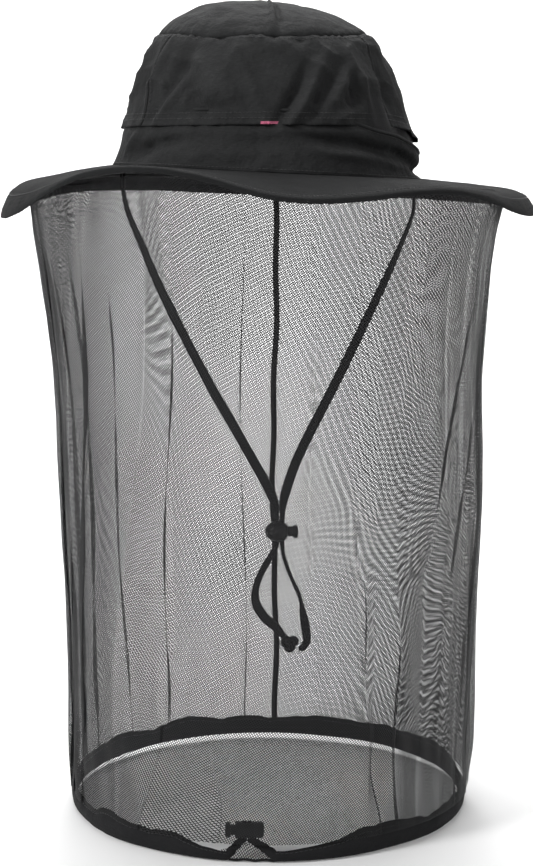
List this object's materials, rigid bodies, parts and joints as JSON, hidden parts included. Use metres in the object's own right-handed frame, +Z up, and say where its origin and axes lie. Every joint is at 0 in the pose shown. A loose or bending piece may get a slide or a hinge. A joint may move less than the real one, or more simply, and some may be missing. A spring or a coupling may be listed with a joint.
{
  "type": "beekeeping veil",
  "caption": "Soft bucket hat with a vented crown and a fine net veil that hangs from the brim to a drawn hem, with a chin strap and cord locks.",
  "frame": {"origin": "centre of the head opening, in the plane where the crown is sewn to the brim", "axes": "+Z up through the crown, -Y the way the wearer looks, +X the left of the wearer, seen on the right from the front"},
  "size_m": [0.3448, 0.3568, 0.528],
  "materials": {
    "crown_fabric": "matte woven nylon",
    "mesh": "fine knitted mesh",
    "lining": "matte brushed knit",
    "tape": "ribbed woven tape",
    "tab": "satin woven ribbon",
    "brim_fabric": "matte woven nylon",
    "foam": "matte non-woven felt",
    "lace": "braided polyester",
    "lock_plastic": "fine satin moulding",
    "spring_steel": "drawn wire"
  },
  "bodies": {
    "hat": {"crown_tip": "crown_fabric", "crown_front_panel": "crown_fabric", "crown_back_panel": "crown_fabric", "crown_seam_tape_left": "tape", "crown_seam_tape_right": "tape", "crown_vent_mesh": "mesh", "lower_crown_wall": "crown_fabric", "sweatband": "lining", "woven_tab": "tab", "brim_top_ply": "brim_fabric", "brim_stiffener": "foam", "brim_under_ply": "brim_fabric", "brim_edge_binding": "tape", "net_top_tape": "tape", "veil_net": "mesh", "back_seam_tape": "tape", "strap_anchor_left": "tape", "strap_anchor_right": "tape"},
    "hem": {"hem_casing": "tape", "hem_drawcord": "lace", "hem_lock_body": "lock_plastic", "hem_lock_spring": "spring_steel"},
    "hem_lock_button": {"hem_lock_plunger": "lock_plastic"},
    "chin_strap": {"strap_left": "lace", "strap_right": "lace"},
    "chin_lock": {"chin_lock_body": "lock_plastic", "chin_lock_spring": "spring_steel", "loop_strand_left": "lace", "loop_strand_right": "lace", "strap_knot": "lace"},
    "chin_lock_button": {"chin_lock_plunger": "lock_plastic"}
  },
  "joints": [
    {"name": "veil_lift", "type": "slide", "parent": "hat", "child": "hem", "axis": [0, 0, 1], "range_m": [0, 0.3], "deforming": ["veil_net", "back_seam_tape"]},
    {"name": "hem_lock_press", "type": "slide", "parent": "hem", "child": "hem_lock_button", "axis": [1, 0, 0], "range_m": [0, 0.0022], "stiffness_N_per_m": 250, "springref_m": -0.003, "deforming": ["hem_lock_spring"]},
    {"name": "chin_strap_swing", "type": "hinge", "parent": "hat", "child": "chin_strap", "pos_m": [0, 0, -0.0143], "axis": [1, 0, 0], "range_deg": [-15, 15]},
    {"name": "chin_lock_slide", "type": "slide", "parent": "chin_strap", "child": "chin_lock", "axis": [0, 0, 1], "range_m": [0, 0.055], "deforming": ["strap_left", "strap_right"]},
    {"name": "chin_lock_press", "type": "slide", "parent": "chin_lock", "child": "chin_lock_button", "axis": [-1, 0, 0], "range_m": [0, 0.0018], "stiffness_N_per_m": 250, "springref_m": -0.003, "deforming": ["chin_lock_spring"]}
  ]
}
